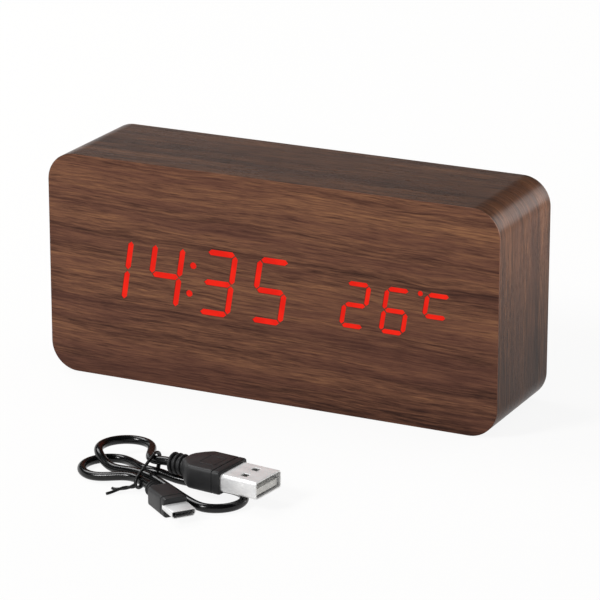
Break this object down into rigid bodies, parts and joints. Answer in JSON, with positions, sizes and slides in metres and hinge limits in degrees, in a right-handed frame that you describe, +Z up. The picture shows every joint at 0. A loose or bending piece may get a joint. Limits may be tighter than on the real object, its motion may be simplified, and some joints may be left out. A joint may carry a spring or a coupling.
{
  "type": "desk alarm clock",
  "caption": "Rounded rectangular desk clock in wood veneer with red digits shining through the front, rear buttons, battery bay and a separate tied USB power lead.",
  "frame": {"origin": "middle of the clock's underside", "axes": "+X to the right seen from the front, +Y towards the rear cover, +Z up; the digits face -Y"},
  "size_m": [0.15, 0.1398, 0.07],
  "materials": {
    "walnut_veneer": "satin printed walnut film",
    "fibreboard": "raw fibreboard",
    "lit_acrylic": "clear plastic lit red from behind",
    "diffuser": "frosted film",
    "black_plastic": "fine satin texture",
    "chip_black": "moulded matt",
    "circuit_board": "solder-resist green",
    "led_body": "white with clear lens",
    "ivory_plastic": "moulded satin",
    "plated_steel": "bright nickel plate",
    "contact_steel": "nickel-plated spring steel",
    "screw_steel": "zinc plate",
    "brass": "satin",
    "battery_wrap": "shrink film",
    "cord_black": "glossy soft PVC",
    "wire_red": "satin PVC",
    "ribbon_grey": "satin PVC"
  },
  "bodies": {
    "clock": {"front_veneer": "walnut_veneer", "case_wrap_veneer": "walnut_veneer", "front_panel": "fibreboard", "wood_case": "fibreboard", "time_light_guide": "lit_acrylic", "temperature_light_guide": "lit_acrylic", "diffuser_film": "diffuser", "segment_mask": "black_plastic", "rear_cover": "black_plastic", "display_driver": "chip_black", "control_chip": "chip_black", "buzzer": "chip_black", "temperature_sensor": "chip_black", "set_switch": "chip_black", "up_switch": "chip_black", "down_switch": "chip_black", "usb_socket_tongue": "chip_black", "display_board": "circuit_board", "control_board": "circuit_board", "led_array": "led_body", "display_connector": "ivory_plastic", "control_connector": "ivory_plastic", "backup_cell_holder": "ivory_plastic", "usb_socket_shell": "plated_steel", "microphone": "plated_steel", "clock_crystal": "plated_steel", "backup_cell": "plated_steel", "battery_contact_negative": "contact_steel", "battery_contact_positive": "contact_steel", "battery_bridge_left": "contact_steel", "battery_bridge_right": "contact_steel", "display_screw_1": "screw_steel", "display_screw_2": "screw_steel", "display_screw_3": "screw_steel", "display_screw_4": "screw_steel", "cover_screw_1": "screw_steel", "cover_screw_2": "screw_steel", "cover_screw_3": "screw_steel", "cover_screw_4": "screw_steel", "battery_1": "battery_wrap", "battery_2": "battery_wrap", "battery_3": "battery_wrap", "battery_wire_negative": "cord_black", "battery_wire_positive": "wire_red", "ribbon_cable": "ribbon_grey"},
    "set_button": {"set_button": "black_plastic", "set_switch_plunger": "brass"},
    "up_button": {"up_button": "black_plastic", "up_switch_plunger": "brass"},
    "down_button": {"down_button": "black_plastic", "down_switch_plunger": "brass"},
    "battery_door": {"battery_door": "black_plastic"},
    "usb_lead": {"usb_cord": "cord_black", "twist_tie": "cord_black", "usb_a_grip": "cord_black", "usb_a_shell": "plated_steel", "usb_a_tongue": "ivory_plastic", "micro_usb_grip": "cord_black", "micro_usb_shell": "plated_steel", "micro_usb_tongue": "chip_black"}
  },
  "joints": [
    {"name": "set_button_press", "type": "slide", "parent": "clock", "child": "set_button", "axis": [0, -1, 0], "range_m": [0, 0.0006], "stiffness_N_per_m": 1200, "springref_m": -0.0004},
    {"name": "up_button_press", "type": "slide", "parent": "clock", "child": "up_button", "axis": [0, -1, 0], "range_m": [0, 0.0006], "stiffness_N_per_m": 1200, "springref_m": -0.0004},
    {"name": "down_button_press", "type": "slide", "parent": "clock", "child": "down_button", "axis": [0, -1, 0], "range_m": [0, 0.0006], "stiffness_N_per_m": 1200, "springref_m": -0.0004},
    {"name": "battery_door_swing", "type": "hinge", "parent": "clock", "child": "battery_door", "pos_m": [-0.03105, 0.0183, 0.01745], "axis": [-1, 0, 0], "range_deg": [0, 75]},
    {"name": "usb_lead_lift", "type": "slide", "parent": "clock", "child": "usb_lead", "axis": [0, 0, 1], "range_m": [0, 0.08]}
  ]
}
